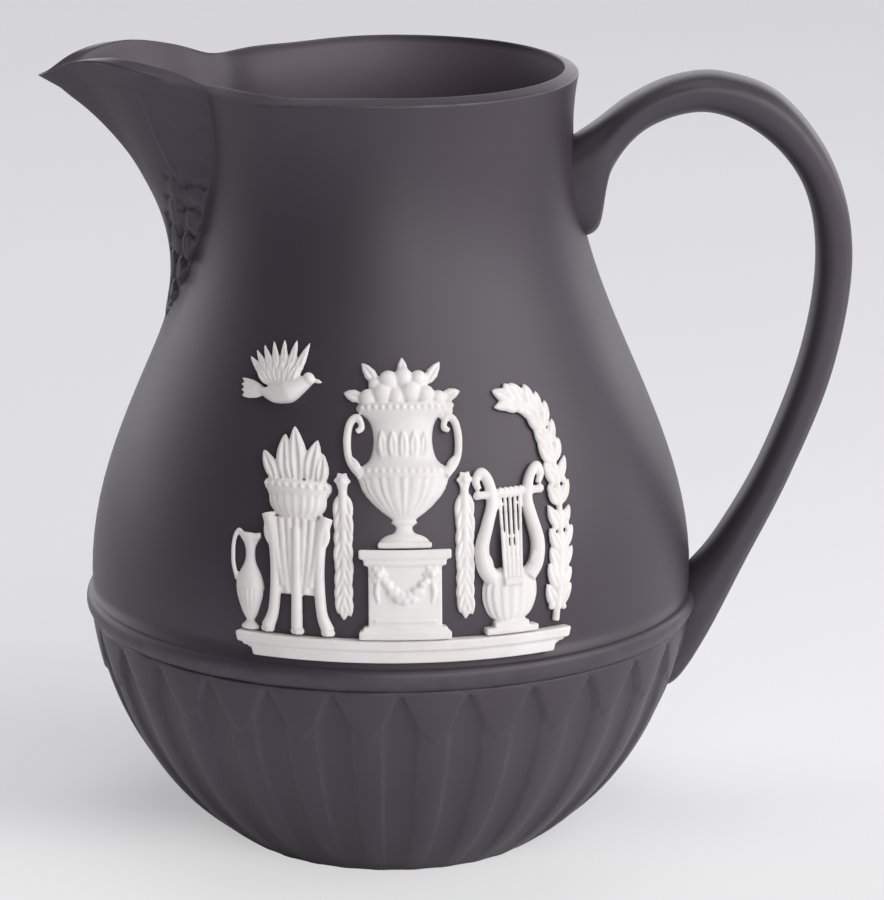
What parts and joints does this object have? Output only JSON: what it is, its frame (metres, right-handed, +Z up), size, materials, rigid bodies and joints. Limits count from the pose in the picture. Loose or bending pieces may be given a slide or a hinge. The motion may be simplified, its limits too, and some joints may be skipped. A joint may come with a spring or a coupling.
{
  "type": "jasperware jug",
  "caption": "Black stoneware jug with a pear-shaped body, pulled spout, strap handle, leaf moulding below a band, and a white still life in relief on each side.",
  "frame": {"origin": "centre of the flat underside", "axes": "+Z up along the jug's axis, -X towards the spout, +X towards the handle, -Y towards the side that the picture shows"},
  "size_m": [0.1648, 0.1282, 0.1636],
  "materials": {
    "black_stoneware": "matte unglazed",
    "white_stoneware": "matte unglazed"
  },
  "bodies": {
    "root": {"jug_body": "black_stoneware", "handle": "black_stoneware", "spout_leaf": "black_stoneware", "plinth_front": "white_stoneware", "plinth_back": "white_stoneware", "pedestal_front": "white_stoneware", "pedestal_back": "white_stoneware", "urn_front": "white_stoneware", "urn_back": "white_stoneware", "tripod_front": "white_stoneware", "tripod_back": "white_stoneware", "lyre_front": "white_stoneware", "lyre_back": "white_stoneware", "laurel_branch_front": "white_stoneware", "laurel_branch_back": "white_stoneware", "drop_left_front": "white_stoneware", "drop_left_back": "white_stoneware", "drop_right_front": "white_stoneware", "drop_right_back": "white_stoneware", "ewer_front": "white_stoneware", "ewer_back": "white_stoneware", "dove_front": "white_stoneware", "dove_back": "white_stoneware"}
  },
  "joints": []
}
